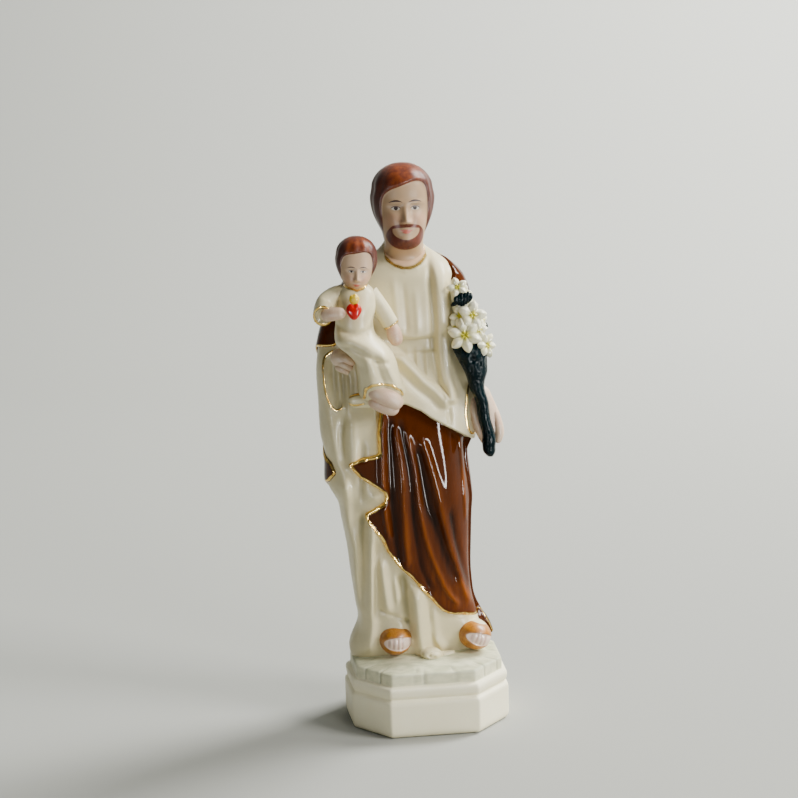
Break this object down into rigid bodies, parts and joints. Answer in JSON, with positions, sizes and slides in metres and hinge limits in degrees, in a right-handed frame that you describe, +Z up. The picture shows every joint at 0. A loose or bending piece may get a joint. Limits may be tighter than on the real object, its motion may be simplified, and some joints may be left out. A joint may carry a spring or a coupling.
{
  "type": "saint joseph statue",
  "caption": "Glazed porcelain figurine of a robed, bearded man with a child on his arm and lilies in his hand, standing on an octagonal plinth of moulded steps",
  "frame": {"origin": "middle of the plinth's flat underside", "axes": "+Z up; the figure looks towards -Y; +X is the viewer's right"},
  "size_m": [0.0642, 0.0476, 0.2],
  "materials": {
    "ivory_glaze": "ivory porcelain under a thin satin glaze, glossy in the folds",
    "bisque_plinth": "cream bisque plinth, pale grey-green on the ground and stone course",
    "brown_glaze": "thick transparent chestnut glaze, amber on the ridges and near black in the valleys",
    "gold_lustre": "thin brushed-on gold lustre lines",
    "flesh": "pale pink unglazed porcelain with painted features",
    "hair": "satin reddish-brown paint with brush shading",
    "green_glaze": "thick very dark green glaze",
    "petals": "glossy white petals with yellow-green throats",
    "red_glaze": "glossy red enamel heart with a yellow flame",
    "sandal": "tan-orange painted sandal straps round pale toes"
  },
  "bodies": {
    "root": {"statue": "ivory_glaze"}
  },
  "joints": []
}
